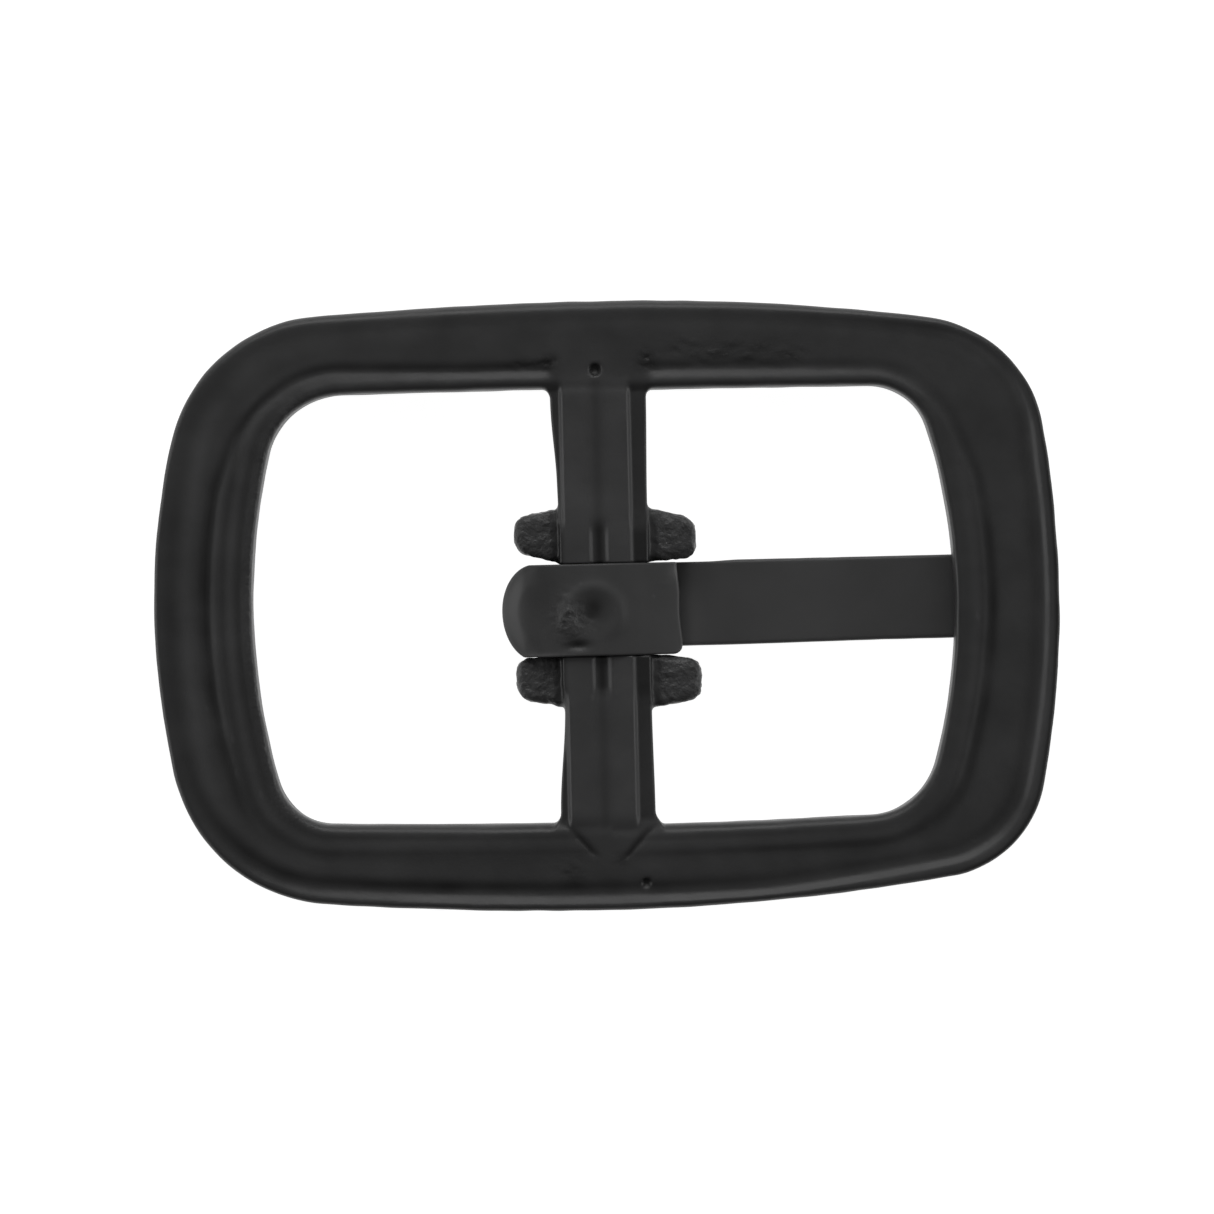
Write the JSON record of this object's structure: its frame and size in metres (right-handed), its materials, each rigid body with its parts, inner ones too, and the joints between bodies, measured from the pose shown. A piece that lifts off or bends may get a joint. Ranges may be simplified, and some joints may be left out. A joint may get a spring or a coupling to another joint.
{
  "type": "belt buckle",
  "caption": "Rounded rectangular centre-bar belt buckle with a hollow-backed cast rim, a grooved bar with side lugs and a rolled-loop prong.",
  "frame": {"origin": "middle of the buckle's outline, at the crest of its front, on which it lies", "axes": "+Z out of the buckle's back, +X from the centre bar towards the prong's tip, +Y along the centre bar"},
  "size_m": [0.0536, 0.0362, 0.0041],
  "materials": {
    "cast_black": "satin",
    "strip_black": "satin"
  },
  "bodies": {
    "frame": {"frame": "cast_black"},
    "prong": {"prong": "strip_black"}
  },
  "joints": [
    {"name": "prong_swing", "type": "hinge", "parent": "frame", "child": "prong", "pos_m": [-0.0001, 0, 0.00215], "axis": [0, 1, 0], "range_deg": [0, 165]}
  ]
}
